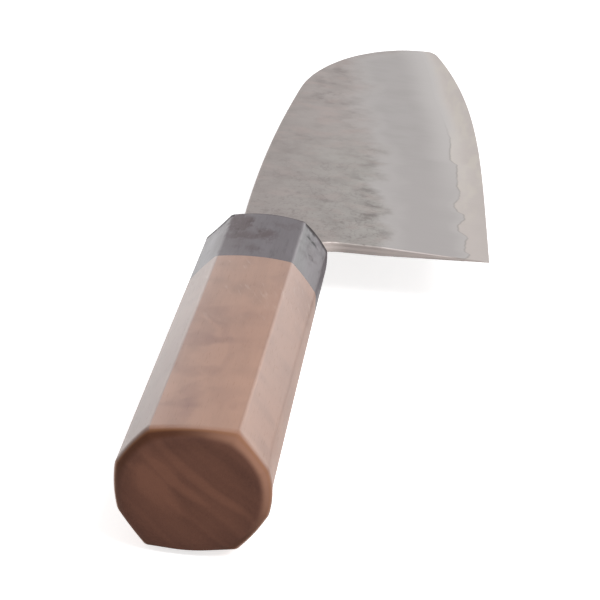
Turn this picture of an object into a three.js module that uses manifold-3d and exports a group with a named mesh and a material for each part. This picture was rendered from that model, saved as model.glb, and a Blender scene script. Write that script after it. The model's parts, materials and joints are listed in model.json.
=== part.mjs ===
import * as THREE from 'three';
import { mergeVertices } from 'three/addons/utils/BufferGeometryUtils.js';
import Module from 'manifold-3d';

const wasm = await Module();
wasm.setup();

// The knife lies on its left side. Sizes are in millimetres.
// Building frame: origin on the handle axis at the ferrule's front face,
// +X toward the tip, +Y toward the spine, +Z out of the blade's right side.

// Handle, lengths counted back from the ferrule's front face.
const handleLength = 126.2;
const ferruleLength = 28;
const buttBevelLength = 2.8;
const handleTwist = THREE.MathUtils.degToRad(-3.2);
// Half sizes of the end octagons. The spine side, the edge side and the lower half differ a little in width.
const buttOctagon = {
  halfWidthSpine: 12.3,
  halfWidthEdge: 11.65,
  halfWidthLow: 11.8,
  halfHeight: 9.8,
  halfWide: 7.3,
  halfSide: 3.9,
};
const frontOctagon = {
  halfWidthSpine: 11.5,
  halfWidthEdge: 11.5,
  halfWidthLow: 10.9,
  halfHeight: 8.65,
  halfWide: 6.8,
  halfSide: 3.4,
};
const wideCrown = 0.45;
const cornerCrown = 0.3;
const sideCrown = 0.4;
const buttBevelSide = 1.5;
const buttBevelTop = 0.55;
const buttRoundness = 2.6;
const ferruleChamfer = 0.5;
const ferruleWall = 5;
const handleRings = 5;

// Blade outline, lengths counted forward from the heel.
const heelX = 13.6;
const heelY = -42;
const bladeLength = 162.5;
const spineCrestX = 37;
const spineCrestY = 6.9;
const spineRadius = 1250;
const noseStart = 115.6;
const noseEndY = -21.7;
const edgeSlope = 0.06;
const bellyRise = 9.2;
const bellyPower = 4.2;
const tipRound = 2.8;
const bladeSteps = 13;
const noseSteps = 11;
const noseTurn = THREE.MathUtils.degToRad(86); // how far the nose's quarter turn is followed

// Blade section, thicknesses over both sides.
const spineThickness = 2.7;
const grindThickness = 1.84;
const grindThicknessTip = 1.1;
const edgeThickness = 0.1;
const grindHeight = 20.5;
const grindHeightTip = 24;
const grindRatio = 0.97; // largest part of the blade's height that the grind takes, near the nose
const coreThickness = 0.46;
const weldLine = 0.02;

// Neck and tang.
const neckBottomY = -8;
const heelFillet = 5;
const shoulderGap = 1.5;
const tangLength = 85;
const tangHeight = 9;
const tangEndHeight = 5;
const tangThickness = 2.1;
const tangEndThickness = 1.5;
const tangRoot = 4;

// Inner handle pieces and their fits.
const dowelDiameter = 12.4;
const boreClearance = 0.3;
const kerfClearance = 0.35;
const kerfBeyondTang = 4;
const dowelBeyondKerf = 8;
const beddingClearance = 0.3;
const sealWall = 0.5;
const sealDepth = 4;
const sealClearance = 0.15;

// Facets on round stretches, and how far a cutting shape passes the faces it cuts.
const roundSegments = 32;
const filletSegments = 8;
const overshoot = 1;

function at(x, y, z) {
  return new THREE.Vector3(x, y, z);
}

// Closed skin through rings with equal point counts, ordered along +X, each running from +Y to +Z.
function loft(rings) {
  const count = rings[0].length;
  const faces = [];
  for (let ring = 0; ring + 1 < rings.length; ring += 1) {
    for (let i = 0; i < count; i += 1) {
      const a = ring * count + i;
      const b = ring * count + (i + 1) % count;
      faces.push(a, b, a + count, b, b + count, a + count);
    }
  }
  const last = (rings.length - 1) * count;
  for (let i = 1; i + 1 < count; i += 1) {
    faces.push(0, i + 1, i, last, last + i, last + i + 1);
  }
  const geometry = new THREE.BufferGeometry().setFromPoints(rings.flat());
  geometry.setIndex(faces);
  return geometry;
}

function solidOf(geometry) {
  geometry.deleteAttribute('normal');
  geometry.deleteAttribute('uv');
  const merged = mergeVertices(geometry);
  return new wasm.Manifold(new wasm.Mesh({
    numProp: 3,
    vertProperties: new Float32Array(merged.attributes.position.array),
    triVerts: new Uint32Array(merged.index.array),
  }));
}

function geometryOf(solid) {
  const mesh = solid.getMesh();
  const geometry = new THREE.BufferGeometry();
  geometry.setAttribute('position', new THREE.BufferAttribute(mesh.vertProperties, 3));
  geometry.setIndex(new THREE.BufferAttribute(mesh.triVerts, 1));
  geometry.computeVertexNormals();
  return geometry;
}

// Box between two corners.
function block(x0, x1, y0, y1, z0, z1) {
  const geometry = new THREE.BoxGeometry(x1 - x0, y1 - y0, z1 - z0);
  geometry.translate((x0 + x1) / 2, (y0 + y1) / 2, (z0 + z1) / 2);
  return solidOf(geometry);
}

// Round rod on the handle axis.
function rod(x0, x1, diameter) {
  const geometry = new THREE.CylinderGeometry(diameter / 2, diameter / 2, x1 - x0, roundSegments);
  geometry.rotateZ(-Math.PI / 2);
  geometry.translate((x0 + x1) / 2, 0, 0);
  return solidOf(geometry);
}

// Octagon with crowned facets: three strips to each facet, the middle one flat.
function octagonPoints(size, inset) {
  const spine = size.halfWidthSpine - inset;
  const edge = size.halfWidthEdge - inset;
  const low = size.halfWidthLow - inset;
  const h = size.halfHeight - inset;
  const t = size.halfWide - inset * Math.tan(Math.PI / 8);
  const s = size.halfSide - inset * Math.tan(Math.PI / 8);
  const corners = [[low, -s], [spine, s], [t, h], [-t, h], [-edge, s], [-low, -s], [-t, -h], [t, -h]];
  const crowns = [sideCrown, cornerCrown, wideCrown, cornerCrown];
  return corners.flatMap((start, facet) => {
    const end = corners[(facet + 1) % corners.length];
    const run = [end[0] - start[0], end[1] - start[1]];
    const length = Math.hypot(run[0], run[1]);
    return [0, 1 / 3, 2 / 3].map((along) => {
      const bulge = crowns[facet % crowns.length] * 4 * along * (1 - along);
      return [
        start[0] + run[0] * along + bulge * run[1] / length,
        start[1] + run[1] * along - bulge * run[0] / length,
      ];
    });
  });
}

// Ring of the handle at x, turned by its share of the hand-made twist.
function handleRing(x, inset = 0) {
  const share = -x / (handleLength - buttBevelLength);
  const size = {};
  for (const key of Object.keys(frontOctagon)) {
    size[key] = THREE.MathUtils.lerp(frontOctagon[key], buttOctagon[key], share);
  }
  const axis = at(1, 0, 0);
  return octagonPoints(size, inset).map(([y, z]) => at(x, y, z).applyAxisAngle(axis, handleTwist * share));
}

// Oval outline of the butt's end face, one point for each point of the ring in front of it.
function buttRing() {
  const halfWidth = buttOctagon.halfWidthSpine - buttBevelSide;
  const halfHeight = buttOctagon.halfHeight - buttBevelTop;
  const front = handleRing(buttBevelLength - handleLength);
  return front.map((point) => {
    const turn = Math.atan2(point.z, point.y) - handleTwist;
    const across = Math.abs(Math.cos(turn) / halfWidth) ** buttRoundness;
    const up = Math.abs(Math.sin(turn) / halfHeight) ** buttRoundness;
    const radius = (across + up) ** (-1 / buttRoundness);
    const angle = turn + handleTwist;
    return at(-handleLength, radius * Math.cos(angle), radius * Math.sin(angle));
  });
}

// The dowel reaches past the saw cut for the tang, and the cut past the tang.
const kerfEnd = -tangLength - kerfBeyondTang;
const kerfHalf = tangThickness / 2 + kerfClearance;
const dowelEnd = kerfEnd - dowelBeyondKerf;
const dowelFront = -ferruleWall - boreClearance;

// The bore for the dowel runs from behind the ferrule's front wall to a blind end in the grip.
function bore() {
  return rod(dowelEnd - boreClearance, -ferruleWall, dowelDiameter + 2 * boreClearance);
}

function handleBody() {
  const rings = [buttRing()];
  for (let ring = 0; ring < handleRings; ring += 1) {
    const share = ring / (handleRings - 1);
    rings.push(handleRing(THREE.MathUtils.lerp(buttBevelLength - handleLength, -ferruleLength, share)));
  }
  return solidOf(loft(rings)).subtract(bore());
}

// Slot half sizes in the ferrule's face: the tang, the filler around it and the fit.
const slotHalfHeight = tangHeight / 2 + sealWall + 2 * sealClearance;
const slotHalfThickness = tangThickness / 2 + sealWall + 2 * sealClearance;

function ferrule() {
  const rings = [
    handleRing(-ferruleLength),
    handleRing(-ferruleChamfer),
    handleRing(0, ferruleChamfer),
  ];
  const slot = block(
    -ferruleWall - overshoot, overshoot,
    -slotHalfHeight, slotHalfHeight,
    -slotHalfThickness, slotHalfThickness,
  );
  return solidOf(loft(rings)).subtract(bore()).subtract(slot);
}

function neckSeal() {
  const height = slotHalfHeight - sealClearance;
  const thickness = slotHalfThickness - sealClearance;
  const outer = block(-sealDepth, 0, -height, height, -thickness, thickness);
  const innerHeight = height - sealWall;
  const innerThickness = thickness - sealWall;
  const inner = block(
    -sealDepth - overshoot, overshoot,
    -innerHeight, innerHeight,
    -innerThickness, innerThickness,
  );
  return outer.subtract(inner);
}

function dowel() {
  const kerf = block(kerfEnd, overshoot, -dowelDiameter, dowelDiameter, -kerfHalf, kerfHalf);
  return rod(dowelEnd, dowelFront, dowelDiameter).subtract(kerf);
}

// Glue in the saw cut: a fork around the tang, closed behind its end.
function tangBedding() {
  const front = dowelFront;
  const end = kerfEnd + beddingClearance;
  const outer = Math.sqrt((dowelDiameter / 2) ** 2 - kerfHalf ** 2);
  const frontGap = tangHalfHeight(front) + beddingClearance;
  const endGap = tangEndHeight / 2 + beddingClearance;
  const fork = new THREE.Shape([
    new THREE.Vector2(end, -outer),
    new THREE.Vector2(front, -outer),
    new THREE.Vector2(front, -frontGap),
    new THREE.Vector2(-tangLength - beddingClearance, -endGap),
    new THREE.Vector2(-tangLength - beddingClearance, endGap),
    new THREE.Vector2(front, frontGap),
    new THREE.Vector2(front, outer),
    new THREE.Vector2(end, outer),
  ]);
  const depth = 2 * (kerfHalf - beddingClearance);
  const geometry = new THREE.ExtrudeGeometry(fork, { depth, bevelEnabled: false });
  geometry.translate(0, 0, -depth / 2);
  return solidOf(geometry);
}

function tangHalfHeight(x) {
  const share = (tangRoot - x) / (tangRoot + tangLength);
  return THREE.MathUtils.lerp(tangHeight, tangEndHeight, share) / 2;
}

function tang() {
  const ring = (x, halfHeight, halfThickness) => [
    at(x, halfHeight, -halfThickness),
    at(x, halfHeight, halfThickness),
    at(x, -halfHeight, halfThickness),
    at(x, -halfHeight, -halfThickness),
  ];
  return solidOf(loft([
    ring(-tangLength, tangEndHeight / 2, tangEndThickness / 2),
    ring(tangRoot, tangHeight / 2, tangThickness / 2),
  ]));
}

// Spine: a long shallow arc, then a quarter ellipse down to the nose.
function spineY(x) {
  const arc = (u) => spineCrestY - (u - spineCrestX) ** 2 / (2 * spineRadius);
  const along = Math.max(0, (x - noseStart) / (bladeLength - noseStart));
  const drop = arc(bladeLength) - noseEndY;
  return arc(x) - drop * (1 - Math.sqrt(1 - along ** 2));
}

// Edge: nearly straight at the heel, rising in a belly, rounded up at the tip.
function edgeY(x) {
  const tipStart = bladeLength - tipRound;
  const belly = (u) => heelY + edgeSlope * u + bellyRise * (u / bladeLength) ** bellyPower;
  const along = (x - tipStart) / tipRound;
  if (along <= 0) {
    return belly(Math.max(0, x));
  }
  return belly(tipStart) + (noseEndY - belly(tipStart)) * (1 - Math.sqrt(1 - along ** 2));
}

// Blade section at x from the heel: a wedge from the edge to the top of the grind, then a flatter side.
function bladeRing(x) {
  const share = Math.max(0, x) / bladeLength;
  const bottom = edgeY(x);
  const top = spineY(x);
  const height = THREE.MathUtils.lerp(grindHeight, grindHeightTip, share);
  const full = THREE.MathUtils.lerp(grindThickness, grindThicknessTip, share);
  const grindSlope = (full - edgeThickness) / height;
  const flatHeight = spineY(0) - heelY - grindHeight;
  const flatSlope = (spineThickness - grindThickness) / flatHeight * full / grindThickness;
  const line = Math.min(bottom + height, THREE.MathUtils.lerp(bottom, top, grindRatio));
  const low = edgeThickness / 2;
  const middle = low + grindSlope * (line - bottom) / 2;
  const high = middle + flatSlope * (top - line) / 2;
  const position = heelX + x;
  return [
    at(position, top, -high),
    at(position, top, high),
    at(position, line, middle),
    at(position, bottom, low),
    at(position, bottom, -low),
    at(position, line, -middle),
  ];
}

// Waste behind the heel and under the neck.
function heelNotch() {
  const back = -handleLength;
  const below = 2 * heelY;
  const outline = new THREE.Shape();
  outline.moveTo(back, below);
  outline.lineTo(heelX, below);
  outline.lineTo(heelX, neckBottomY - heelFillet);
  outline.absarc(heelX - heelFillet, neckBottomY - heelFillet, heelFillet, 0, Math.PI / 2, false);
  outline.lineTo(back, neckBottomY);
  outline.closePath();
  const depth = 4 * spineThickness;
  const geometry = new THREE.ExtrudeGeometry(outline, {
    depth,
    bevelEnabled: false,
    curveSegments: filletSegments,
  });
  geometry.translate(0, 0, -depth / 2);
  return solidOf(geometry);
}

function bladeBlank() {
  const rings = [bladeRing(shoulderGap - heelX), bladeRing(0)];
  for (let step = 1; step <= bladeSteps; step += 1) {
    rings.push(bladeRing(noseStart * step / bladeSteps));
  }
  for (let step = 1; step <= noseSteps; step += 1) {
    const turn = noseTurn * step / noseSteps;
    rings.push(bladeRing(THREE.MathUtils.lerp(noseStart, bladeLength, Math.sin(turn))));
  }
  return solidOf(loft(rings)).subtract(heelNotch()).add(tang());
}

// The blank parted into its three layers.
function bladeLayers() {
  const blank = bladeBlank();
  const reach = handleLength + bladeLength;
  const slab = (z0, z1) => blank.intersect(block(-reach, reach, -reach, reach, z0, z1));
  const half = coreThickness / 2;
  return {
    core: slab(-half, half),
    right: slab(half + weldLine, spineThickness),
    left: slab(-spineThickness, -half - weldLine),
  };
}

function steel(color, roughness) {
  return new THREE.MeshStandardMaterial({ color, roughness, metalness: 1 });
}

function matte(color, roughness) {
  return new THREE.MeshStandardMaterial({ color, roughness, metalness: 0 });
}

function piece(name, solid, material) {
  const mesh = new THREE.Mesh(geometryOf(solid), material);
  mesh.name = name;
  return mesh;
}

const layers = bladeLayers();
const knife = new THREE.Group();
knife.name = 'knife';
knife.add(
  piece('blade_core', layers.core, steel('#c4bbb5', 0.32)),
  piece('cladding_right', layers.right, steel('#a49c99', 0.5)),
  piece('cladding_left', layers.left, steel('#a49c99', 0.5)),
  piece('handle_body', handleBody(), matte('#8a6350', 0.5)),
  piece('ferrule', ferrule(), matte('#3b3536', 0.45)),
  piece('dowel', dowel(), matte('#c7a679', 0.7)),
  piece('tang_bedding', tangBedding(), matte('#8f7340', 0.4)),
  piece('neck_seal', neckSeal(), matte('#1f1b1a', 0.6)),
);

// The part's origin is the middle of the knife's footprint, on the plane it rests on.
const bounds = new THREE.Box3().setFromObject(knife);
const middle = bounds.getCenter(at(0, 0, 0));
knife.position.set(-middle.x, -middle.y, -bounds.min.z);

const part = new THREE.Group();
part.name = 'santoku_knife';
part.add(knife);

export default part;
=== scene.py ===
import json
import math

import bmesh
import bpy
import numpy as np
from mathutils import Matrix, Vector, noise

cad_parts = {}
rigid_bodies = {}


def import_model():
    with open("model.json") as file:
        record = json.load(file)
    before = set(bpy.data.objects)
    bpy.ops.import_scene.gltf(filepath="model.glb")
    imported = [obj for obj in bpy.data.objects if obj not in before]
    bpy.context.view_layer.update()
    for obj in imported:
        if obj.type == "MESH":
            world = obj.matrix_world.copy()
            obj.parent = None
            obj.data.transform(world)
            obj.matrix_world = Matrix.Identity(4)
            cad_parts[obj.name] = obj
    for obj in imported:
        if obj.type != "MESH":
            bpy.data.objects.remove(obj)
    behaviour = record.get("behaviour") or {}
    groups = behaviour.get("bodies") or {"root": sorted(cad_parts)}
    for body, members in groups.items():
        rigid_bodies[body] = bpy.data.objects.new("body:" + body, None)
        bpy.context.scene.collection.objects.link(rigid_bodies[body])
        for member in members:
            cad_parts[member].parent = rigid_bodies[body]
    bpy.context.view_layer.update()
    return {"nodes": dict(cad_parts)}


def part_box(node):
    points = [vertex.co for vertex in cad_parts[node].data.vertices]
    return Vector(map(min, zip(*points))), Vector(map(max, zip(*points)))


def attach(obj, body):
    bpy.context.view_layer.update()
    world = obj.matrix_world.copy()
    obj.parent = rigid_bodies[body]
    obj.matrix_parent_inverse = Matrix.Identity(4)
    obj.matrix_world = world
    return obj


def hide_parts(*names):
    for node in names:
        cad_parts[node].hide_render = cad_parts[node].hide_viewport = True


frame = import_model()
print("frame loaded with", len(frame["nodes"]), "nodes")

# sizes below are in millimetres from the handle axis at the ferrule's front face:
# +X to the tip, +Y to the spine, +Z out of the blade's right side
mm = 0.001
mergeGap = 0.0005  # points nearer than this become one
sealLow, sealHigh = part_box("neck_seal")
coreLow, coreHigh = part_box("blade_core")
axisPoint = Vector((
    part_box("ferrule")[1].x,
    (sealLow.y + sealHigh.y) / 2,
    (coreLow.z + coreHigh.z) / 2,
))
toFrame = Matrix.Translation(axisPoint) @ Matrix.Scale(mm, 4)
objects = bpy.context.scene.collection.objects


class Wire:
    # one output in a node tree; maths on it adds Math nodes
    def __init__(self, tree, socket=None):
        self.tree = tree
        self.socket = socket

    def add(self, kind, settings=None, sockets=None, out=0):
        node = self.tree.nodes.new(kind)
        for name, value in (settings or {}).items():
            setattr(node, name, value)
        for name, value in (sockets or {}).items():
            if isinstance(value, Wire):
                self.tree.links.new(value.socket, node.inputs[name])
            else:
                node.inputs[name].default_value = value
        return Wire(self.tree, node.outputs[out] if node.outputs else None)

    def side(self, name):  # another output of the same node
        return Wire(self.tree, self.socket.node.outputs[name])

    def math(self, operation, *values):
        return self.add("ShaderNodeMath", {"operation": operation}, dict(enumerate((self, *values))))

    def swapped(self, operation, value):
        return self.add("ShaderNodeMath", {"operation": operation}, {0: value, 1: self})

    def __add__(self, value):
        return self.math("ADD", value)

    def __radd__(self, value):
        return self.math("ADD", value)

    def __sub__(self, value):
        return self.math("SUBTRACT", value)

    def __rsub__(self, value):
        return self.swapped("SUBTRACT", value)

    def __mul__(self, value):
        return self.math("MULTIPLY", value)

    def __rmul__(self, value):
        return self.math("MULTIPLY", value)

    def __truediv__(self, value):
        return self.math("DIVIDE", value)

    def __rtruediv__(self, value):
        return self.swapped("DIVIDE", value)

    def __pow__(self, value):
        return self.math("POWER", value)

    def clamp(self, low=0.0, high=1.0):
        return self.add("ShaderNodeClamp", {}, {"Value": self, "Min": low, "Max": high})

    def ease(self, low, high):  # 0 below low, 1 above high, smooth between
        return self.add(
            "ShaderNodeMapRange",
            {"interpolation_type": "SMOOTHSTEP"},
            {"Value": self, "From Min": low, "From Max": high},
        )

    def off(self, low, high):  # 1 below low, 0 above high, smooth between
        return 1 - self.ease(low, high)

    def split(self):  # the three numbers of a vector
        parts = self.add("ShaderNodeSeparateXYZ", {}, {0: self})
        return [parts.side(name) for name in "XYZ"]

    def stretch(self, x, y, z):  # a vector scaled along each axis
        return self.add("ShaderNodeVectorMath", {"operation": "MULTIPLY"}, {0: self, 1: (x, y, z)})

    def grain(self, size, detail=3.0, rough=0.5):  # noise on this vector with lumps of this size in mm
        return self.add("ShaderNodeTexNoise", {}, {
            "Vector": self.stretch(*[1 / length for length in size]),
            "Scale": 1.0,
            "Detail": detail,
            "Roughness": rough,
        })

    def tinted(self, low, high):  # colour low where this is 0, high where it is 1
        return self.add("ShaderNodeMix", {"data_type": "RGBA"}, {0: self, 6: low, 7: high}, 2)


def tint(red, green, blue):  # a colour as picked on screen, 0 to 255
    shares = [channel / 255 for channel in (red, green, blue)]
    linear = [share / 12.92 if share <= 0.04045 else ((share + 0.055) / 1.055) ** 2.4 for share in shares]
    return (*linear, 1.0)


def grey(level):
    return (level, level, level, 1.0)


def newMaterial(name):
    material = bpy.data.materials.new(name)
    material.use_nodes = True
    material.node_tree.nodes.clear()
    return material, Wire(material.node_tree)


def overAxis(desk):  # object coordinates in mm from the handle axis
    place = desk.add("ShaderNodeTexCoord", out="Object")
    fromAxis = desk.add("ShaderNodeVectorMath", {"operation": "SUBTRACT"}, {0: place, 1: axisPoint})
    return fromAxis.stretch(1 / mm, 1 / mm, 1 / mm)


def painted(desk, *names):  # values stored on the points of the mesh
    return [desk.add("ShaderNodeAttribute", {"attribute_name": name}, out="Fac") for name in names]


def soaked(along, across, marks):  # soft marks: place, half length, half width and strength of each
    total = 0.0
    for x, y, long, wide, strength in marks:
        u, v = (along - x) / long, (across - y) / wide
        total = (u * u + v * v).off(0.0, 1.0) * strength + total
    return total


def layered(colour, *layers):  # lays each tone over the colour by its amount
    for amount, tone in layers:
        colour = amount.tinted(colour, tone)
    return colour


def bumped(desk, height, strength, depth):
    return desk.add("ShaderNodeBump", {}, {"Strength": strength, "Distance": depth * mm, "Height": height})


def surfaced(desk, sockets):  # closes a material with its one shader
    shader = desk.add("ShaderNodeBsdfPrincipled", {}, sockets)
    desk.add("ShaderNodeOutputMaterial", {}, {"Surface": shader})


# walnut: long grain along the handle, end grain on the butt
walnut = {
    "pale": tint(155, 111, 88),
    "dark": tint(112, 74, 58),
    "cloud": tint(112, 66, 52),
    "pore": tint(70, 46, 36),
    "fleck": tint(206, 186, 172),
    # painted light on the edge side of the upper facet toward the butt
    "warm": tint(184, 134, 106),
    "endPale": tint(113, 75, 60),
    "endDark": tint(84, 54, 44),
    # bevel tones: painted light on the side facing the light, painted shade on the side facing away
    "bevelPale": tint(146, 106, 87),
    "bevelDark": tint(78, 44, 27),
    # painted grey sheen laid over the upper chamfers
    "haze": tint(98, 91, 92),
    # painted highlight along the bevel's outer edge
    "arris": tint(140, 92, 58),
    # sizes along the handle, across it and upward
    "fibreSize": (9, 0.35, 0.35),
    "poreSize": (3.2, 0.22, 0.22),
    "figureSize": (26, 6, 6),
    "smokeSize": (9, 8, 8),
    "wobbleSize": (6, 5, 5),
    "wobbleReach": 7,
    "curlSize": (14, 4, 4),
    "fleckSize": (6, 0.8, 0.8),
    "fleckPatch": (9, 9, 9),
    "speckleSize": (4, 0.3, 0.3),
    "fleckTurn": -0.27,
    # year rings of the end grain: spacing, slant, and size and reach of their wander
    "ringGap": 2.3,
    "ringSlant": (0.60, -0.80),
    "ringWander": (30, 20, 20),
    "ringReach": 7,
    # half width and half height of the butt, and where its bevel is palest with painted light, seen from the
    # axis
    "butt": (10.8, 9.3),
    "bevelFacing": (-0.79, 0.61),
    # curl across the grain: place of one dark band and their spacing
    "curl": (-78.0, 16.4),
    # dark clouds on the upper facet
    "clouds": [
        (-110, 2.5, 12, 2.0, 0.7), (-106, -2.7, 6, 3.4, 0.4), (-44, -6.2, 20, 2.2, 0.6),
        (-54, 6.8, 9, 2.0, 0.5), (-70, -1.0, 14, 8.0, 0.4), (-78, 4.5, 4.5, 6.0, 0.5),
        (-115, 4.5, 10, 4.5, 0.5),
    ],
    # pale streaks of the end grain: place across the rings and along them, half width, half length, strength
    "streaks": [
        (-3.2, 0.0, 1.1, 14, 0.45), (-0.6, -3.0, 1.2, 7, 0.4),
        (2.8, -4.5, 2.8, 8, 0.6), (0.5, -7.0, 4.0, 5, 0.4),
    ],
    # the long vein: its lowest point, bend, half width and the pale line beside it
    "veinTurn": (-85.0, -1.4),
    "veinBend": 0.0131,
    "veinWidth": 1.1,
    "veinEcho": 1.5,
    # where a tone comes in or goes out along the handle, and two of them across it
    "veinStart": (-102, -94),
    "veinEnd": (-68, -60),
    "curlEnd": (-62, -40),
    "fleckStart": (-75, -50),
    "paleStart": (-75, -35),
    "warmEnd": (-50, -35),
    "warmSide": (-6, 3),
    "hazeStart": (-120, -75),
    "hazeSide": (-8, -4),
    "sheenStart": (-115, -50),
}


def walnutFinish():
    material, desk = newMaterial("oiledWalnut")
    at = overAxis(desk)
    along, across, upward = at.split()
    upper, ridge, butt, haze = painted(desk, "upper", "ridge", "endGrain", "haze")
    smoke = at.grain(walnut["smokeSize"], 2.0)
    figure = at.grain(walnut["figureSize"])
    fibre = at.grain(walnut["fibreSize"])
    pores = at.grain(walnut["poreSize"], 1.0).ease(0.64, 0.72)
    wobble = (at.grain(walnut["wobbleSize"]) - 0.5) * walnut["wobbleReach"]
    turned = desk.add("ShaderNodeVectorRotate", {"rotation_type": "Z_AXIS"}, {
        "Vector": at, "Angle": walnut["fleckTurn"]})
    flecks = turned.grain(walnut["fleckSize"], 2.0).ease(0.54, 0.74) * along.ease(*walnut["fleckStart"])
    flecks = flecks * at.grain(walnut["fleckPatch"], 1.0).ease(0.48, 0.6)

    # long grain with curl, clouds and a vein
    oneBand, bandGap = walnut["curl"]
    curl = ((along + wobble - oneBand) * (2 * math.pi / bandGap)).math("COSINE").ease(0.2, 1.1)
    curl = curl * at.grain(walnut["curlSize"]).ease(0.36, 0.62) * (1 - along.ease(*walnut["curlEnd"]) * 0.8)
    clouds = soaked(along + wobble * 1.5, across + wobble * 0.8, walnut["clouds"]) * upper
    turnX, turnY = walnut["veinTurn"]
    fromTurn = along + wobble * 2 - turnX
    offVein = across - turnY - fromTurn * fromTurn * walnut["veinBend"]
    veined = along.ease(*walnut["veinStart"]) * along.off(*walnut["veinEnd"]) * upper
    veinDark = offVein.math("ABSOLUTE").off(0.0, walnut["veinWidth"]) * veined
    veinPale = (offVein - walnut["veinEcho"]).math("ABSOLUTE").off(0.0, walnut["veinWidth"]) * veined
    shade = smoke.ease(0.42, 0.72) * 0.3 + figure.ease(0.35, 0.7) * (0.15 + upper * 0.25)
    shade = shade + (fibre - 0.5) * 0.3 - veinPale * 0.25
    figured = clouds * 0.45 + curl * (0.1 + upper * 0.25) + veinDark * 0.2
    # painted light on the edge side of the upper facet toward the butt, less on the ridge
    paintedLight = across.off(*walnut["warmSide"]) * along.off(*walnut["warmEnd"]) * (1 - ridge * 0.4) * upper
    longGrain = layered(
        shade.clamp().tinted(walnut["pale"], walnut["dark"]),
        (figured.clamp(0.0, 0.9), walnut["cloud"]),
        (pores * 0.1, walnut["pore"]),
        (paintedLight * 0.3, walnut["warm"]),
        (flecks * 0.18 + along.ease(*walnut["paleStart"]) * upper * 0.07, walnut["fleck"]),
    )

    # end grain and bevel
    slantY, slantZ = walnut["ringSlant"]
    wander = (at.grain(walnut["ringWander"], 2.0) - 0.5) * walnut["ringReach"]
    rings = across * slantY + upward * slantZ + wander
    bands = desk.add("ShaderNodeTexNoise", {"noise_dimensions": "1D"}, {
        "W": rings / walnut["ringGap"], "Scale": 1.0, "Detail": 1.0})
    speckle = at.grain(walnut["speckleSize"], 1.0)
    wide, high = walnut["butt"]
    rim = (across * across / wide ** 2 + upward * upward / high ** 2).ease(0.35, 1.0)
    streaks = soaked(rings, across * slantZ - upward * slantY + wobble, walnut["streaks"])
    endShade = 0.55 + (bands - 0.5) * 0.8 + (speckle - 0.5) * 0.35 + rim * 0.2
    endShade = endShade + (smoke - 0.5) * 0.4 - streaks
    endGrain = endShade.clamp().tinted(walnut["endPale"], walnut["endDark"])
    # painted light and shade on the bevel by the way it faces
    facingY, facingZ = walnut["bevelFacing"]
    litFacing = (across * facingY + upward * facingZ) / wide + (figure - 0.5) * 0.3
    bevelLitAndShaded = layered(
        litFacing.ease(0.25, 1.15).tinted(walnut["bevelDark"], walnut["bevelPale"]),
        # painted highlight where the bevel meets the facets
        (butt.off(0.1, 0.4) * 0.6, walnut["arris"]),
    )

    # painted grey sheen, less of it on the edge side near the butt
    haze = haze * (1 - along.off(*walnut["hazeStart"]) * across.off(*walnut["hazeSide"]) * 0.8)
    sheen = along.ease(*walnut["sheenStart"])
    dry = butt.ease(0.02, 0.3)
    colour = layered(
        longGrain,
        (butt.ease(0.01, 0.15), bevelLitAndShaded),
        (butt.ease(0.5, 1.0), endGrain),
        (ridge * fibre * 0.1, walnut["dark"]),
        (haze * (1 - dry) * (0.54 - sheen * 0.14), walnut["haze"]),
    )
    surfaced(desk, {
        "Base Color": colour,
        "Roughness": 0.46 + figure * 0.08 + pores * 0.1 + dry * 0.32,
        "IOR": 1.3,
        "Coat Weight": (0.46 + haze * (sheen * 0.12 - 0.05)) * (1 - dry),
        "Coat Roughness": 0.3,
        "Coat IOR": 1.5,
        "Normal": bumped(desk, fibre * 0.5 - pores, 0.2, 0.05),
    })
    return material


# ferrule: near-black wood with brown clouds
darkWood = {
    "black": tint(57, 44, 53),
    "deep": tint(24, 18, 21),
    "brown": tint(54, 32, 34),
    "rim": tint(34, 24, 24),
    "grey": tint(72, 60, 69),
    # pale tone of torn marks, and painted highlight on the ridges
    "worn": tint(92, 82, 86),
    # sizes along the handle, across it and upward
    "fibreSize": (5, 0.25, 0.25),
    "streakSize": (9, 1.3, 1.3),
    "greySize": (14, 3, 3),
    "cloudSize": (9, 5, 5),
    "tornSize": (2.2, 0.6, 0.6),
    "nickSize": (2.5, 0.9, 0.9),
    # coarse and fine wobble of the marks: size and reach
    "coarseWobble": ((5, 2.5, 2.5), 6),
    "fineWobble": ((1.8, 0.9, 0.9), 5),
    # clouds on the upper facet, and the heights where they come in
    "clouds": [
        (-13.6, -0.7, 5, 2.7, 1.0), (-6, 4.6, 6, 2.8, 1.2), (-9, 5.8, 4, 1.6, 0.7),
        (-15, 3.6, 4, 3.6, 0.6), (-23, 1.0, 3, 1.8, 0.5), (-14, 5.5, 18, 6.0, 0.4),
    ],
    "cloudHeight": (6, 8),
    # dark cuts on the right chamfer, and as the last, large one painted shade near the upper ridge: along
    # the handle and upward, and where they end across it
    "cuts": [
        (-6.6, 6.7, 1.0, 1.7, 1.0), (-15.0, 6.3, 1.4, 0.8, 0.7), (-2.4, 7.2, 0.8, 1.4, 0.6),
        (-3.0, 6.8, 9.0, 5.0, 0.4),
    ],
    "cutSide": (-8, -7),
    # painted shade on the top of that chamfer
    "shadeHeight": (5.6, 8.4),
    "shadeSide": (-6, -4),
    # the matt rim at the front, narrower on the upper facet
    "rimStart": (-2.8, -1.0),
    "rimNarrowing": 1.4,
}


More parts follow.
